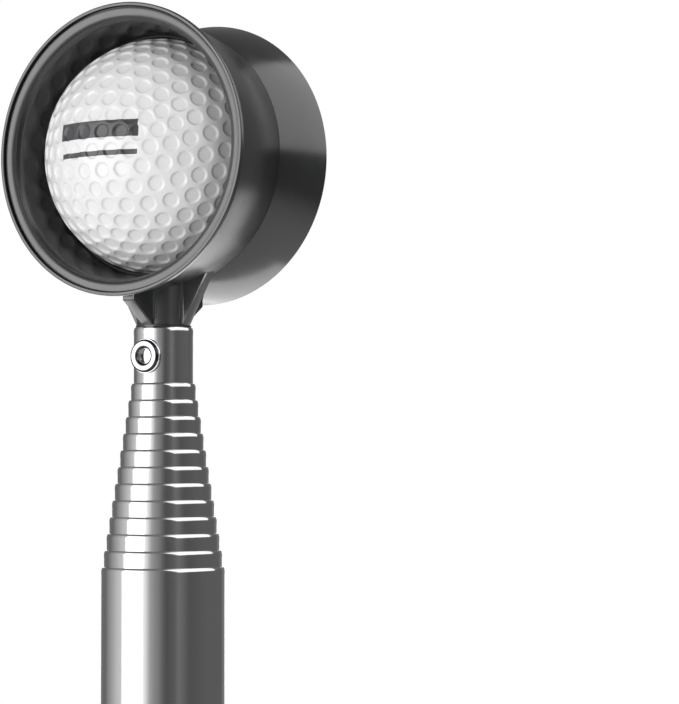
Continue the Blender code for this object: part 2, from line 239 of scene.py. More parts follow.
class MaterialNodes(NodeTree):
    """The nodes of a new material, round its Principled BSDF."""

    def __init__(self, name, color, roughness, metallic=0.0):
        self.material = bpy.data.materials.new(name)
        self.material.use_nodes = True
        super().__init__(self.material.node_tree)
        self.shader = self.tree.nodes["Principled BSDF"]
        self.shader.inputs["Base Color"].default_value = (*color, 1.0)
        self.set(Roughness=roughness, Metallic=metallic)
        self.place = self.add("ShaderNodeTexCoord").outputs["Object"]

    def set(self, **values):
        """Numbers for the shader's inputs, with _ for a space in a name."""
        for name, value in values.items():
            self.shader.inputs[name.replace("_", " ")].default_value = value

    def feed(self, name, output):
        self.link(output, self.shader.inputs[name])

    def noise(self, scale, detail=3.0, roughness=0.5, stretch=(1.0, 1.0, 1.0)):
        mapping = self.add("ShaderNodeMapping")
        mapping.inputs["Scale"].default_value = stretch
        self.link(self.place, mapping.inputs["Vector"])
        node = self.add("ShaderNodeTexNoise")
        node.inputs["Scale"].default_value = scale
        node.inputs["Detail"].default_value = detail
        node.inputs["Roughness"].default_value = roughness
        self.link(mapping.outputs["Vector"], node.inputs["Vector"])
        return node.outputs["Fac"]

    def bump(self, height, strength, distance):
        node = self.add("ShaderNodeBump")
        node.inputs["Strength"].default_value = strength
        node.inputs["Distance"].default_value = distance
        self.link(height, node.inputs["Height"])
        self.feed("Normal", node.outputs["Normal"])


def plastic_finish(name, dark, light, roughness, grain=0.2, gloss=0.5):
    """Satin moulded plastic: faint flow variation, a fine pebble, smudged gloss."""
    nodes = MaterialNodes(name, dark, roughness)
    cloud = nodes.noise(60.0, 4.0, 0.55)
    nodes.feed("Base Color", nodes.mix(nodes.ramp(cloud, 0.0, 1.0), dark, light))
    smudge = nodes.noise(140.0, 3.0, 0.6)
    nodes.feed("Roughness", nodes.ramp(smudge, roughness - 0.04, roughness + 0.05))
    nodes.bump(nodes.noise(5200.0, 2.0, 0.5), grain, 0.02 * MM)
    nodes.set(Specular_IOR_Level=gloss)
    return nodes.material


def steel_finish(name, color, roughness, streak=0.05):
    """Polished metal: fine marks drawn along the tube and faint handling smudges."""
    nodes = MaterialNodes(name, color, roughness, 1.0)
    drawn = nodes.noise(900.0, 3.0, 0.6, (1.0, 1.0, 0.015))
    smudge = nodes.noise(45.0, 4.0, 0.6)
    marks = nodes.ramp(drawn, -0.02, 0.02)
    polish = nodes.ramp(smudge, roughness - 0.02, roughness + 0.03)
    nodes.feed("Roughness", nodes.math("ADD", marks, polish))
    worn = tuple(channel * 0.93 for channel in color)
    nodes.feed("Base Color", nodes.mix(nodes.ramp(smudge, 0.0, 1.0), color, worn))
    nodes.bump(drawn, streak, 0.004 * MM)
    return nodes.material


def rivet_finish():
    """Chrome, with painted shade as dark rings round the head's outer edge and round its bore's edge."""
    chrome = (0.8, 0.8, 0.81)
    # color of the painted shade on the rivet's edges
    painted_shade = (0.05, 0.05, 0.053)
    nodes = MaterialNodes("rivet_chrome", chrome, 0.05, 1.0)
    across, _, height = nodes.axes(nodes.place)
    up = nodes.math("SUBTRACT", height, RIVET_Z)
    squares = nodes.math("MULTIPLY", across, across)
    from_axis = nodes.math("SQRT", nodes.math("MULTIPLY_ADD", up, up, squares))

    def ring(radius, half_width):
        """1 near a radius in mm, fading to 0 at the ring's half width."""
        apart = nodes.math("ABSOLUTE", nodes.math("SUBTRACT", from_axis, radius * MM))
        return nodes.ramp(apart, 1.0, 0.0, 0.4 * half_width * MM, half_width * MM)

    # painted shade: dark rings at the head's outer edge and at the bore's edge stand in for the shaded
    # outlines there
    outer_edge = ring(2.78, 0.38)
    bore_edge = ring(1.64, 0.34)
    painted_shade_rings = nodes.math("MAXIMUM", outer_edge, bore_edge)
    nodes.feed("Roughness", nodes.ramp(nodes.noise(300.0, 3.0), 0.04, 0.08))
    nodes.feed("Base Color", nodes.mix(painted_shade_rings, chrome, painted_shade))
    return nodes.material


def wire_finish():
    """Blackened wire, with fine marks of the drawing."""
    nodes = MaterialNodes("spring_wire", (0.02, 0.02, 0.021), 0.5)
    drawn = nodes.noise(2500.0, 2.0)
    nodes.feed("Roughness", nodes.ramp(drawn, 0.45, 0.6))
    oxide = nodes.ramp(nodes.noise(400.0), 0.0, 1.0)
    nodes.feed("Base Color", nodes.mix(oxide, (0.015, 0.015, 0.016), (0.025, 0.025, 0.026)))
    return nodes.material


def brass_finish():
    """Brass sheet, clean to tarnished."""
    nodes = MaterialNodes("shim_brass_sheet", (0.72, 0.55, 0.25), 0.35, 1.0)
    tarnish = nodes.noise(160.0, 4.0)
    color = nodes.mix(nodes.ramp(tarnish, 0.0, 1.0), (0.74, 0.57, 0.27), (0.55, 0.39, 0.17))
    nodes.feed("Base Color", color)
    nodes.feed("Roughness", nodes.ramp(tarnish, 0.28, 0.45))
    return nodes.material


def rubber_finish(name, color, pebble):
    """Matt rubber with a fine pebble and a dusty variation."""
    nodes = MaterialNodes(name, color, 0.72)
    dust = nodes.noise(90.0, 5.0, 0.6)
    pale = tuple(channel * 1.7 + 0.004 for channel in color)
    nodes.feed("Base Color", nodes.mix(nodes.ramp(dust, 0.0, 1.0), color, pale))
    nodes.feed("Roughness", nodes.ramp(dust, 0.66, 0.82))
    cells = nodes.add("ShaderNodeTexVoronoi", feature="SMOOTH_F1")
    cells.inputs["Scale"].default_value = pebble
    nodes.link(nodes.place, cells.inputs["Vector"])
    nodes.bump(cells.outputs["Distance"], 0.5, 0.12 * MM)
    return nodes.material


def ball_finish():
    """White lacquered cover with a plain two-bar alignment mark facing out of the mouth."""
    nodes = MaterialNodes("ball_cover_lacquer", (0.86, 0.86, 0.86), 0.3)
    soil = nodes.noise(70.0, 4.0, 0.6)
    cover = nodes.mix(nodes.ramp(soil, 0.0, 1.0), (0.82, 0.82, 0.817), (0.785, 0.785, 0.785))
    across, depth, up = nodes.axes(nodes.place)
    wide = nodes.math("LESS_THAN", nodes.math("ABSOLUTE", across), 8.0 * MM)

    def bar(above_centre, half_height):
        height = nodes.math("ABSOLUTE", nodes.math("SUBTRACT", up, RING.z + above_centre * MM))
        return nodes.math("MULTIPLY", nodes.math("LESS_THAN", height, half_height * MM), wide)

    thick = bar(2.6, 1.5)
    thin = bar(-1.6, 0.45)
    front = nodes.math("LESS_THAN", depth, 0.0)
    mark = nodes.math("MULTIPLY", nodes.math("MAXIMUM", thick, thin), front)
    nodes.feed("Base Color", nodes.mix(mark, cover, (0.05, 0.05, 0.055)))
    nodes.feed("Roughness", nodes.ramp(soil, 0.25, 0.36))
    nodes.set(Coat_Weight=0.5, Coat_Roughness=0.08)
    return nodes.material


GRAPHITE_DARK = (0.013, 0.0134, 0.0142)
GRAPHITE_LIGHT = (0.017, 0.0174, 0.0185)
GRAPHITE = plastic_finish("graphite_moulding", GRAPHITE_DARK, GRAPHITE_LIGHT, 0.23, 0.12, 0.95)
GRAPHITE_REAR = plastic_finish("graphite_moulding_rear", GRAPHITE_DARK, GRAPHITE_LIGHT, 0.19, 0.12, 0.95)
STEEL = steel_finish("polished_tube_steel", (0.66, 0.66, 0.67), 0.13)
CHROME = rivet_finish()
WASHER = steel_finish("washer_chrome", (0.78, 0.78, 0.79), 0.1, 0.05)
WIRE = wire_finish()
BRASS = brass_finish()
BALL = ball_finish()
GRIP = rubber_finish("grip_moulding", (0.022, 0.022, 0.023), 900.0)
CAP = rubber_finish("cap_moulding", (0.02, 0.02, 0.021), 1400.0)
TRIM = plastic_finish("trim_moulding", (0.035, 0.035, 0.037), (0.045, 0.045, 0.047), 0.4)
NYLON = plastic_finish("plug_nylon_moulding", (0.5, 0.5, 0.49), (0.56, 0.56, 0.55), 0.45)
SCREW = steel_finish("screw_zinc", (0.6, 0.6, 0.62), 0.25)


# ---- the pole ----------------------------------------------------------------------------------
POLE_SIDES = 128
SHOULDER_H = 0.85 * MM
SHOULDER_STEPS = 10
BEAD_TOP = 0.2                  # in mm: where the bead starts to fade, below the shoulder
BEAD_FADE = 0.5                 # and the height over which it fades into the wall
LIP_EASE = 0.04 * MM            # bevel on the lip's inner edge, outwards
LIP_DROP = 0.05 * MM            # and downwards
FOOT_H = 1.0 * MM               # height of the swaged foot
FOOT_BAND = 0.15 * MM           # and of its straight band
TURN_IN_LOW = 0.9 * MM          # underside of the turned-in lip, at the wall
TURN_IN_HIGH = 0.55 * MM        # and at the lip
SLEEVE_WALL = 0.15 * MM
SLEEVE_SIDES = 64


def body_of_tube(number):
    if number == TUBES:
        return "handle"
    if number == 1:
        return "head"
    return f"section_{number:02d}"


def tube_loop(number):
    """Profile of a tube: lip, round shoulder, slight bead, wall, swaged foot and bore."""
    radius, bottom, top = tube_span(number)
    step = tube_span(2)[0] - tube_span(1)[0]
    lip = radius - step + LIP_GAP if number > 1 else PLUG_R + LIP_GAP
    edge = radius + BEAD_PROUD
    flat = lip + 2 * LIP_EASE
    loop = [(lip, top - LIP_DROP), (lip + LIP_EASE, top)]
    for share in range(SHOULDER_STEPS + 1):
        turn = radians(90 * share / SHOULDER_STEPS)
        loop.append((flat + (edge - flat) * sin(turn), top - SHOULDER_H * (1 - cos(turn))))
    for share in (0.25, 0.5, 0.75, 1.0):
        blend = (1 + cos(pi * share)) / 2
        loop.append((radius + BEAD_PROUD * blend, top - SHOULDER_H - (BEAD_TOP + BEAD_FADE * share) * MM))
    if number < TUBES:
        foot = radius + FOOT_PROUD
        loop += [(radius, bottom + FOOT_H), (foot, bottom + FOOT_BAND), (foot, bottom)]
    else:
        loop.append((radius, bottom))
    bore = radius - WALL
    loop += [(bore, bottom), (bore, top - TURN_IN_LOW), (lip, top - TURN_IN_HIGH)]
    return loop


def build_tubes():
    for number in range(1, TUBES + 1):
        node = f"tube_{number:02d}"
        name = f"pole_{node}"
        mesh = lathe_mesh(name, tube_loop(number), POLE_SIDES)
        made = link(name, mesh, body_of_tube(number), STEEL, 50.0)
        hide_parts(node)


def build_sleeves():
    ease = 0.4 * MM
    taper = 0.05 * MM
    for number in range(1, TUBES):
        node = f"friction_sleeve_{number:02d}"
        low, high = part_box(node)
        outer = high[0]
        inner = outer - SLEEVE_WALL
        loop = [
            (outer - taper, high[2]),
            (outer, high[2] - ease),
            (outer, low[2] + ease),
            (outer - taper, low[2]),
            (inner, low[2]),
            (inner, high[2]),
        ]
        name = f"shim_{number:02d}"
        made = link(name, lathe_mesh(name, loop, SLEEVE_SIDES), body_of_tube(number), BRASS)
        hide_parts(node)


# ---- the head ----------------------------------------------------------------------------------
HEAD_SIDES = 256
# in mm: radii, and depths from the ring's centre towards the mouth
LIP_R = 25.9
MOUTH = 14.3
BACK_R = 25.87
BACK = -14.2
WAIST_R = 23.0
WAIST = -2.65
THROAT_R = 21.65
LAP_R = 22.28                   # spigot of the rear half, inside the front half
LAP_LENGTH = 1.75
JOINT_GAP = 0.05
SPRING_DEPTH = 3.3
GROOVE_R = 22.05
GROOVE_HALF = 0.45
CROWN = 2.2                     # radius of the shoulder behind the lip's groove
CROWN_IN = 1.43                 # middle of its arc, in from the lip's edge
CROWN_DEPTH = 0.4               # its crest, back from the mouth
CROWN_CORNER = 0.35             # radius of the corner between the shoulder and the chamfer
# in mm, with heights from the ring's centre
POST_R = 4.8
POST_TOP = -18.0
FLOOR = (POLE_TOP - RING.z) / MM    # end of the top tube, which the post's collar sits on
SIDE_WEB = (11.1, -20.0, -26.45)    # reach, top and outer corner
CROSS_WEB = (10.85, -18.0, -19.9)
GUSSET_THICK = 2.35
GUSSET_FOOT_R = 5.05
GUSSET_FOOT_H = 0.25            # where the gussets end, above the top tube
GUSSET_BEVEL = 0.2
FILLET_FOOT_H = 1.4             # where the fillets between post and gussets end
PLUG_DEPTH = 16.0
LEAD_IN = 0.5                   # cut on the plug's lower end, inwards
LEAD_IN_H = 0.6                 # and upwards
# out from the post, and up from the top tube
COLLAR_POINTS = [(0.0, 0.45), (0.03, 0.4), (0.12, 0.36), (0.18, 0.28), (0.18, 0.08)]
# distances in from the lip's edge, and back from the mouth
UNDER_LIP = [(0.5, 1.05), (0.64, 1.2), (0.72, 1.6)]
CHAMFER = [(3.2, 2.5), (3.1, 2.05), (3.0, 1.9), (2.56, 1.56), (2.46, 1.44), (2.43, 1.2)]
LIP_GROOVE = [(0.85, 0.6), (0.8, 0.9), (0.66, 0.85)]


def groove(at):
    """Square groove in the throat for a retaining spring."""
    return [
        (THROAT_R, at - GROOVE_HALF),
        (GROOVE_R, at - GROOVE_HALF),
        (GROOVE_R, at + GROOVE_HALF),
        (THROAT_R, at + GROOVE_HALF),
    ]


def from_lip(points):
    """Points given as distances in from the lip's edge and back from the mouth."""
    return [(LIP_R - inward, MOUTH - back) for inward, back in points]


def front_shell_loop():
    """(radius, depth towards the mouth): flat thin lip, cone, waist, throat, chamfer, shoulder."""
    round_r = 0.22
    under_r = 0.25
    under_depth = 0.75
    lip = arc((LIP_R - round_r, MOUTH - round_r), round_r, 90, 0, 6)
    lip += arc((LIP_R - under_r, MOUTH - under_depth), under_r, 0, -60, 4)
    cone = from_lip(UNDER_LIP) + [(WAIST_R + 0.07, WAIST + 0.12), (WAIST_R, WAIST)]
    throat = [(LAP_R, WAIST), (LAP_R, WAIST + LAP_LENGTH), (THROAT_R, WAIST + LAP_LENGTH)]
    throat += groove(SPRING_DEPTH)
    crown_mid = (LIP_R - CROWN_IN, MOUTH - CROWN_DEPTH - CROWN)
    inset = CROWN - CROWN_CORNER
    tilt = radians(27)
    corner_mid = (crown_mid[0] - inset * sin(tilt), crown_mid[1] + inset * cos(tilt))
    shoulder = arc(corner_mid, CROWN_CORNER, 172, 117, 6) + arc(crown_mid, CROWN, 115, 75, 12)
    rim_r = 0.1
    rim_in = 0.54
    rim = arc((LIP_R - rim_in, MOUTH - rim_r), rim_r, 180, 90, 4)
    return in_mm(lip + cone + throat + from_lip(CHAMFER) + shoulder + from_lip(LIP_GROOVE) + rim)


def rear_shell_loop():
    """(radius, depth towards the mouth): spigot, cone out to the back, throat with its groove."""
    waist = WAIST - JOINT_GAP
    spigot_r = LAP_R - JOINT_GAP
    spigot_top = waist + LAP_LENGTH - JOINT_GAP
    edge = 0.3
    inner_edge = BACK_R - 0.9
    straight = 0.7                  # length of the throat behind its groove
    outside = [(spigot_r, spigot_top), (spigot_r, waist), (WAIST_R, waist), (WAIST_R + 0.09, waist - 0.1)]
    outside += arc((BACK_R - edge, BACK + edge), edge, 15, -90, 8)
    inside = arc((inner_edge, BACK + edge), edge, -90, -170, 8)
    inside += [(THROAT_R + 0.05, -SPRING_DEPTH - GROOVE_HALF - straight)] + groove(-SPRING_DEPTH)
    inside.append((THROAT_R, spigot_top))
    return in_mm(outside + inside)


def envelope_loop():
    """What the bracket stays out of: the inside of the head and all of its rear half."""
    split = WAIST + 0.25
    inner = WAIST_R - 0.4
    outer = WAIST_R + 0.02
    rise = (BACK_R - WAIST_R) / (WAIST - BACK)
    reach = 4.0
    lip = LIP_R - 1.1
    return in_mm([
        (0.0, MOUTH + reach), (lip, MOUTH + reach), (lip, MOUTH - 1.3), (inner, split),
        (outer, split), (outer + rise * (split - BACK + reach), BACK - reach), (0.0, BACK - reach),
    ])


def web_loop(reach, top, corner):
    """Web of the bracket, seen along its thickness. Its top is cut by the envelope."""
    foot = FLOOR + GUSSET_FOOT_H
    return in_mm([
        (-reach, top), (reach, top), (reach, corner),
        (GUSSET_FOOT_R, foot), (-GUSSET_FOOT_R, foot), (-reach, corner),
    ])


def post_loop():
    """(radius, height): the post, its collar on the top tube, and the plug in the tube."""
    plug_r = PLUG_R / MM
    low = FLOOR - PLUG_DEPTH
    loop = [(0.0, POST_TOP), (POST_R, POST_TOP)]
    loop += [(POST_R + outward, FLOOR + up) for outward, up in COLLAR_POINTS]
    loop += [(plug_r, FLOOR + 0.03), (plug_r, low + LEAD_IN_H), (plug_r - LEAD_IN, low), (0.0, low)]
    return in_mm(loop)


def fillet_mesh(name, quarter, mirrored):
    """Upright bead in the corner between the post and a gusset's flank."""
    half = GUSSET_THICK / 2
    size = 0.5
    sunk = 0.4                      # how far the bead reaches into the post
    flank = sqrt(POST_R**2 - half**2)
    wall = sqrt(POST_R**2 - (half + size)**2)
    outline = [(wall - sunk, half - sunk / 2), (flank + size, half - 0.02), (flank + size, half)]
    outline += arc((flank + size, half + size), size, 270, 190, 6) + [(wall - 0.05, half + size)]
    if mirrored:
        outline = [(across, -up) for across, up in reversed(outline)]
    bottom = FLOOR + FILLET_FOOT_H
    mesh = plate_mesh(name, in_mm(outline), (POST_TOP - bottom) * MM, Matrix.Identity(4), 0.0)
    turn = Matrix.Rotation(quarter * pi / 2, 4, "Z")
    mesh.transform(Matrix.Translation(Vector((0.0, 0.0, (bottom + POST_TOP) / 2 * MM))) @ turn)
    return mesh


def cut_mesh(mesh, cutter):
    """The mesh less the cutter object's shape."""
    holder = bpy.data.objects.new(mesh.name, mesh)
    bpy.context.scene.collection.objects.link(holder)
    step = holder.modifiers.new("cut", "BOOLEAN")
    step.operation = "DIFFERENCE"
    step.object = cutter
    step.solver = "EXACT"
    graph = bpy.context.evaluated_depsgraph_get()
    made = bpy.data.meshes.new_from_object(holder.evaluated_get(graph))
    bpy.data.objects.remove(holder, do_unlink=True)
    return made


def bracket_mesh():
    """Post with its plug, four gussets and the fillets between them, clear of the envelope."""
    to_yz = Matrix(((0, 0, 1), (1, 0, 0), (0, 1, 0))).to_4x4()
    to_xz = Matrix(((1, 0, 0), (0, 0, -1), (0, 1, 0))).to_4x4()
    pieces = [
        plate_mesh("side_web", web_loop(*SIDE_WEB), GUSSET_THICK * MM, to_yz, GUSSET_BEVEL * MM),
        plate_mesh("cross_web", web_loop(*CROSS_WEB), GUSSET_THICK * MM, to_xz, GUSSET_BEVEL * MM),
        lathe_mesh("post", post_loop(), POLE_SIDES),
    ]
    for quarter in range(4):
        for mirrored in (False, True):
            pieces.append(fillet_mesh(f"fillet_{quarter}_{mirrored:d}", quarter, mirrored))
    cutter = bpy.data.objects.new("envelope", lathe_mesh("envelope", envelope_loop(), HEAD_SIDES, True))
    bpy.context.scene.collection.objects.link(cutter)
    cut = [cut_mesh(piece, cutter) for piece in pieces]
    bpy.data.objects.remove(cutter, do_unlink=True)
    made = joined("head_bracket", cut)
    made.transform(Matrix.Translation(RING))
    return made


def build_head():
    front = lathe_mesh("front_shell", front_shell_loop(), HEAD_SIDES, True, RING)
    made = link("front_shell", front, "head", GRAPHITE, 30.0)
    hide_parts("front_funnel")

    rear = lathe_mesh("rear_shell", rear_shell_loop(), HEAD_SIDES, True, RING)
    made = link("rear_shell", rear, "head", GRAPHITE_REAR, 30.0)
    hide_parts("rear_funnel")

    bracket = link("head_bracket", bracket_mesh(), "head", GRAPHITE, 35.0)
    flats = bracket.modifiers.new("flats", "WEIGHTED_NORMAL")
    flats.keep_sharp = True


def build_springs():
    """Retaining rings, each a circle of wire lying in its groove."""
    wire_sides = 12
    for node in ("front_retaining_spring", "rear_retaining_spring"):
        low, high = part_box(node)
        middle = Vector((0.0, (low[1] + high[1]) / 2, RING.z))
        wire = (high[1] - low[1]) / 2
        ring_r = high[0] - wire
        loop = arc((ring_r, 0.0), wire, 0, 360 - 360 / wire_sides, wire_sides - 1)
        name = node.replace("spring", "ring")
        made = link(name, lathe_mesh(name, loop, HEAD_SIDES, True, middle), "head", WIRE)
        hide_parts(node)


RIVET_SIDES = 96
# in mm, along the rivet's axis and out from it
RIVET_BORE_R = 1.4
RIVET_SHANK_R = 1.9
RIVET_TAIL_R = 2.35
RIVET_TAIL_H = 0.4
WASHER_BORE_R = 2.0


def rivet_loop(head_r, front, under, back):
    """(radius, depth): rounded head and its underside, shank, rolled tail, bore."""
    edge = 0.38
    under_edge = 0.12
    tail_edge = 0.22
    roll = 0.3
    loop = arc((head_r - edge, front - edge), edge, 90, 0, 8)
    loop += arc((head_r - under_edge, under + under_edge), under_edge, 0, -90, 4)
    loop += [(RIVET_SHANK_R, under), (RIVET_SHANK_R, back + RIVET_TAIL_H)]
    loop += arc((RIVET_TAIL_R - tail_edge, back + tail_edge), tail_edge, 40, -90, 6)
    loop += arc((RIVET_BORE_R + roll, back + roll), roll, 270, 180, 6)
    loop += arc((RIVET_BORE_R + edge, front - edge), edge, 180, 90, 8)
    return in_mm(loop)


def washer_loop(outer, near, far):
    """(radius, depth): flat ring with both outer edges eased."""
    ease = 0.13
    loop = arc((outer - ease, far - ease), ease, 90, 0, 4)
    loop += arc((outer - ease, near + ease), ease, 0, -90, 4)
    return in_mm(loop + [(WASHER_BORE_R, near), (WASHER_BORE_R, far)])


def build_rivet():
    """Hollow rivet through the top tube and the plug, and the washer under its head."""
    low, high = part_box("head_rivet")
    washer_low, washer_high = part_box("rivet_washer")
    near = -washer_high[1] / MM
    far = -washer_low[1] / MM
    centre = (0.0, 0.0, RIVET_Z)
    loop = rivet_loop(high[0] / MM, -low[1] / MM, far + 0.03, -high[1] / MM)
    mesh = lathe_mesh("hollow_rivet", loop, RIVET_SIDES, True, centre)
    made = link("hollow_rivet", mesh, "head", CHROME, 40.0)
    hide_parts("head_rivet")

    loop = washer_loop(washer_high[0] / MM, near, far)
    mesh = lathe_mesh("flat_washer", loop, RIVET_SIDES, True, centre)
    made = link("flat_washer", mesh, "head", WASHER, 50.0)
    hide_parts("rivet_washer")


# ---- the ball ----------------------------------------------------------------------------------
def dimple_centres(frequency):
    """Unit vectors of an icosahedron whose faces are divided, which spaces the dimples evenly."""
    bm = bmesh.new()
    bmesh.ops.create_icosphere(bm, subdivisions=1, radius=1.0)
    found = {}
    for face in bm.faces:
        a, b, c = (np.array(vert.co) for vert in face.verts)
        for i in range(frequency + 1):
            for j in range(frequency + 1 - i):
                point = (a * i + b * j + c * (frequency - i - j)) / frequency
                point /= np.linalg.norm(point)
                found[tuple(np.round(point, 4))] = point
    bm.free()
    return np.array(list(found.values()))


def build_ball():
    """Sphere with pressed dimples, each with a crisp edge and a nearly flat floor."""
    dimple_r = 1.42 * MM
    edge = 0.2 * MM
    depth = 0.36 * MM
    centres = dimple_centres(frequency=7)
    tilt = np.array(Matrix.Rotation(radians(17), 3, "X") @ Matrix.Rotation(radians(11), 3, "Z"))
    centres = centres @ tilt.T
    mesh = bpy.data.meshes.new("ball")
    bm = bmesh.new()
    bmesh.ops.create_icosphere(bm, subdivisions=8, radius=1.0)
    bm.to_mesh(mesh)
    bm.free()
    points = np.empty(len(mesh.vertices) * 3)
    mesh.vertices.foreach_get("co", points)
    points = points.reshape(-1, 3)
    points /= np.linalg.norm(points, axis=1)[:, None]
    radii = np.full(len(points), BALL_R)
    block = 20000
    for start in range(0, len(points), block):
        nearest = (points[start:start + block] @ centres.T).max(axis=1)
        apart = BALL_R * np.arccos(np.clip(nearest, -1.0, 1.0))
        inward = np.clip((dimple_r - apart) / edge, 0.0, 1.0)
        wall = inward * inward * (3 - 2 * inward)
        cup = 0.25 * np.clip(1 - (apart / dimple_r) ** 2, 0.0, 1.0)
        radii[start:start + block] -= depth * wall * (0.75 + cup)
    placed = points * radii[:, None] + np.array(RING)
    mesh.vertices.foreach_set("co", placed.ravel())
    made = link("ball", mesh, "ball", BALL, 180.0)
    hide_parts("golf_ball")


# ---- the handle --------------------------------------------------------------------------------
HANDLE_SIDES = 128
HANDLE_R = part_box("tube_13")[1][0] + 0.04 * MM     # inside of what sits on the outer tube
GRIP_RINGS = 7
GRIP_FIRST_RING = 46.0 * MM
GRIP_PITCH = 21.0 * MM


def build_handle():
    build_grip()
    build_collar()
    build_cap()
    for node, finish in (("butt_plug", NYLON), ("end_screw", SCREW)):
        materials = frame["nodes"][node].data.materials
        materials.clear()
        materials.append(finish)


def build_grip():
    """Rubber sleeve with a rounded top and shallow rings round it."""
    low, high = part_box("grip")
    outer = high[0]
    top = high[2]
    bottom = low[2]
    round_r = 1.5 * MM
    fillet = 0.5 * MM
    half_ring = 1.6 * MM
    half_floor = 0.9 * MM
    floor_r = outer - 0.7 * MM
    loop = arc((outer - 0.3 * MM - round_r, top - round_r), round_r, 90, 0, 8)
    for ring in reversed(range(GRIP_RINGS)):
        middle = GRIP_FIRST_RING + ring * GRIP_PITCH
        loop += arc((outer - fillet, middle + half_ring + fillet), fillet, 0, -70, 4)
        loop += [(floor_r, middle + half_floor), (floor_r, middle - half_floor)]
        loop += arc((outer - fillet, middle - half_ring - fillet), fillet, 70, 0, 4)
    loop += [(outer, bottom + fillet), (outer - fillet, bottom), (HANDLE_R, bottom), (HANDLE_R, top)]
    made = link("grip_sleeve", lathe_mesh("grip_sleeve", loop, HANDLE_SIDES), "handle", GRIP)
    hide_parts("grip")


def build_collar():
    """Trim ring with a rounded top edge, widening down to a short band."""
    low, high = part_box("grip_collar")
    outer = high[0]
    round_r = 0.5 * MM
    ease = 0.4 * MM
    loop = [(HANDLE_R, high[2]), (HANDLE_R + 0.7 * MM, high[2])]
    loop += arc((HANDLE_R + 0.9 * MM, high[2] - round_r), round_r, 90, 15, 6)
    loop += [(outer - 0.1 * MM, low[2] + 1.9 * MM), (outer, low[2] + 1.5 * MM)]
    loop += [(outer, low[2] + ease), (outer - ease, low[2]), (HANDLE_R, low[2])]
    made = link("trim_collar", lathe_mesh("trim_collar", loop, HANDLE_SIDES), "handle", TRIM)
    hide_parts("grip_collar")


def build_cap():
    """Rubber cap round the butt, with a well in its end for the screw's head."""
    outer, _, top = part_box("end_cap")[1]
    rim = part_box("butt_plug")[1][0] + 0.1 * MM
    top_r = 0.8 * MM
    heel_r = 1.6 * MM
    well = in_mm([(3.6, 0.0), (3.4, 0.2), (3.4, 2.2), (1.8, 2.2), (1.8, 3.7)])
    loop = [(rim, top)] + arc((outer - top_r, top - top_r), top_r, 90, 0, 6)
    loop += arc((outer - heel_r, heel_r), heel_r, 0, -90, 10) + well + [(rim, well[-1][1])]
    made = link("butt_cap", lathe_mesh("butt_cap", loop, HANDLE_SIDES), "handle", CAP)
    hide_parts("end_cap")


# ---- studio ------------------------------------------------------------------------------------
CAMERA_AZIMUTH = radians(34.61)
MIDDLE = (0.0, 0.0, RING.z - 0.05)
ORIGIN = (0.0, 0.0, 0.0)
# brightness of the room by angle to the camera's right, in degrees
ROOM_STOPS = (
    (-134, 0.18), (-118, 0.4), (-104, 0.58), (-92, 0.8), (-60, 0.6), (-38, 1.3), (-31, 1.0),
    (-25, 0.5), (-16, 0.36), (-8, 0.28), (0, 0.155), (7, 0.1), (22, 0.145), (29, 0.22),
    (37, 0.18), (46, 0.125), (53, 0.112), (89, 0.145), (152, 0.23),
)
CEILING = (0.22, 0.22, 0.22)


def area_light(name, lit, azimuth, elevation, distance, size, strength, aim=MIDDLE, glossy=True):
    """Soft light for the collection lit, seen from the aim point at an azimuth and elevation in
    degrees. Strength is its brightness, so its power follows its area."""
    data = bpy.data.lights.new(name, "AREA")
    data.shape = "RECTANGLE"
    data.size, data.size_y = size
    data.energy = strength * pi * size[0] * size[1]
    made = bpy.data.objects.new(name, data)
    a, e = radians(azimuth), radians(elevation)
    towards = Vector((sin(a) * cos(e), -cos(a) * cos(e), sin(e)))
    made.location = Vector(aim) + towards * distance
    made.rotation_euler = (-towards).to_track_quat("-Z", "Y").to_euler()
    made.visible_glossy = glossy
    made.visible_camera = False
    bpy.context.scene.collection.objects.link(made)
    made.light_linking.receiver_collection = lit


def receivers(name, objects, state="INCLUDE"):
    """What a lamp lights: these objects alone, or all but these (EXCLUDE)."""
    lit = bpy.data.collections.new(name)
    for item in objects:
        lit.objects.link(item)
    for entry in lit.collection_objects:
        entry.light_linking.link_state = state
    return lit


def build_world():
    """White to the eye; for light and reflections, the dim grey room round the softboxes."""
    world = bpy.data.worlds.new("studio")
    bpy.context.scene.world = world
    world.use_nodes = True
    nodes = NodeTree(world.node_tree)
    across, depth, up = nodes.axes(nodes.add("ShaderNodeTexCoord").outputs["Generated"])
    azimuth = nodes.math("ARCTAN2", across, nodes.math("MULTIPLY", depth, -1.0))
    walls = nodes.add("ShaderNodeValToRGB")
    nodes.link(nodes.ramp(azimuth, 0.0, 1.0, -pi, pi), walls.inputs["Fac"])
    camera_deg = degrees(CAMERA_AZIMUTH)
    places = sorted((((stop + camera_deg + 180) % 360) / 360, value) for stop, value in ROOM_STOPS)
    elements = walls.color_ramp.elements
    while len(elements) < len(places):
        elements.new(0.5)
    for element, (place, value) in zip(elements, places):
        element.position = place
        element.color = (value, value, value, 1.0)
    rise = nodes.ramp(up, 0.0, 1.0, 0.3, 0.75, "SMOOTHSTEP")
    room = nodes.add("ShaderNodeBackground")
    nodes.link(nodes.mix(rise, walls.outputs["Color"], CEILING), room.inputs["Color"])
    backdrop = nodes.tree.nodes["Background"]
    backdrop.inputs["Color"].default_value = (1.0, 1.0, 1.0, 1.0)
    seen = nodes.add("ShaderNodeLightPath").outputs["Is Camera Ray"]
    nodes.blend(seen, room.outputs["Background"], backdrop.outputs["Background"], "World Output")


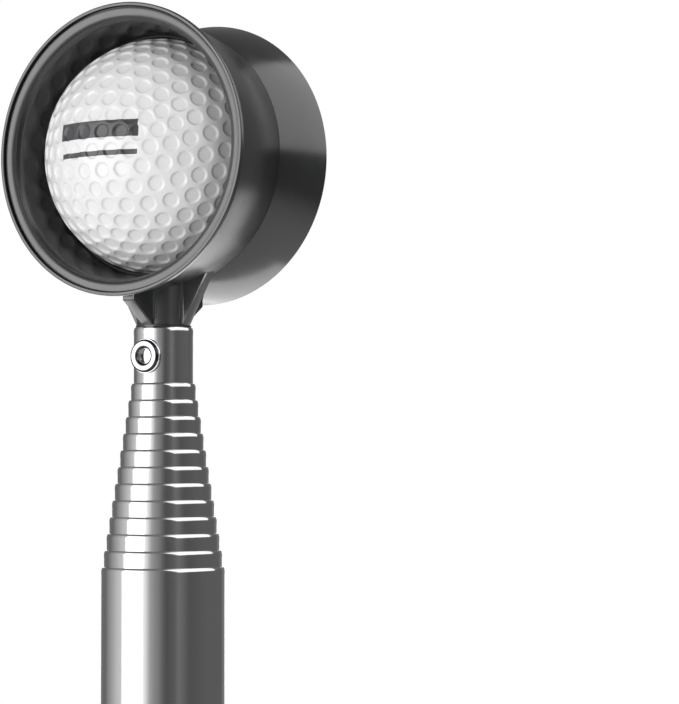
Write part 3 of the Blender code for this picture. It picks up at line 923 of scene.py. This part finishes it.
def build_floor():
    """A pale round floor that fades out into the white surroundings, and is clear from below."""
    bpy.ops.mesh.primitive_circle_add(vertices=96, radius=1.6, fill_type="NGON", location=(0, 0, -0.0002))
    floor = bpy.context.active_object
    floor.name = "floor"
    nodes = MaterialNodes("floor_paint", (0.93, 0.93, 0.93), 0.7)
    length = nodes.add("ShaderNodeVectorMath", operation="LENGTH")
    nodes.link(nodes.place, length.inputs[0])
    fade = nodes.ramp(length.outputs["Value"], 0.0, 1.0, 0.35, 1.4, "SMOOTHSTEP")
    from_below = nodes.add("ShaderNodeNewGeometry").outputs["Backfacing"]
    unseen = nodes.math("MAXIMUM", fade, from_below)
    clear = nodes.add("ShaderNodeBsdfTransparent").outputs["BSDF"]
    nodes.blend(unseen, nodes.shader.outputs["BSDF"], clear, "Material Output")
    floor.data.materials.append(nodes.material)
    return floor


def build_lights(floor):
    """Softboxes for the object, small lamps for the head alone, and the floor's own broad lamp."""
    names = ("front_shell", "rear_shell", "head_bracket", "ball")
    front, rear, bracket, ball = (bpy.data.objects[name] for name in names)
    tubes = [bpy.data.objects[f"pole_tube_{number:02d}"] for number in range(1, TUBES + 1)]
    but_floor = receivers("all_but_floor", [floor], "EXCLUDE")
    but_ball = receivers("all_but_ball", [floor, ball], "EXCLUDE")
    lip_only = receivers("front_and_bracket", [front, bracket])
    tubes_only = receivers("tubes_only", tubes)
    head_only = receivers("head_only", [front, rear, bracket])
    bracket_only = receivers("bracket_only", [bracket])
    floor_only = receivers("floor_only", [floor])

    view = degrees(CAMERA_AZIMUTH)
    area_light("left_softbox", but_floor, view - 60.5, 2, 0.8, (0.62, 0.8), 1.8)
    area_light("right_softbox", but_floor, view + 71, 41, 0.8, (1.6, 0.88), 1.5)
    area_light("lip_light", lip_only, view - 66, 2, 0.8, (0.5, 0.7), 1.0)
    area_light("back_softbox", tubes_only, view + 180, 4, 0.9, (0.3, 0.8), 1.6)
    area_light("under_light", head_only, -152, -50, 0.42, (0.5, 0.32), 2.0, RING)
    area_light("low_back_light", head_only, -160, -22, 0.6, (0.75, 0.3), 1.1, RING)
    area_light("edge_light", bracket_only, 50, -36, 0.4, (0.24, 0.24), 5.0, RING)
    area_light("ball_fill", but_floor, view - 24, -10, 1.0, (0.6, 0.6), 1.9, RING, glossy=False)
    area_light("back_fill", but_floor, view + 178, 18, 1.5, (1.0, 1.0), 2.2, RING, glossy=False)
    area_light("top_fill", but_ball, view, 89, 1.6, (1.6, 1.6), 0.5, ORIGIN, glossy=False)
    area_light("floor_lamp", floor_only, 0, 90, 2.5, (4.0, 4.0), 1.3, ORIGIN, glossy=False)


def build_camera():
    data = bpy.data.cameras.new("camera")
    data.sensor_width = 36.0
    data.lens = 127.0
    data.clip_start = 0.01
    data.clip_end = 50.0
    camera = bpy.data.objects.new("camera", data)
    bpy.context.scene.collection.objects.link(camera)
    bpy.context.scene.camera = camera
    distance = 0.4468
    below = 0.0579
    a = CAMERA_AZIMUTH
    camera.location = (distance * sin(a), -distance * cos(a), RING.z - below)
    facing = a - radians(4.06)
    pitch = radians(2.92)
    roll = radians(-0.1)
    look = Vector((-sin(facing) * cos(pitch), cos(facing) * cos(pitch), sin(pitch)))
    turn = look.to_track_quat("-Z", "Y").to_matrix() @ Matrix.Rotation(roll, 3, "Z")
    camera.rotation_euler = turn.to_euler()


build_camera()
build_world()
floor_disc = build_floor()
build_tubes()
build_sleeves()
build_head()
build_springs()
build_rivet()
build_ball()
build_handle()
build_lights(floor_disc)

scene = bpy.context.scene
scene.view_settings.view_transform = "Standard"
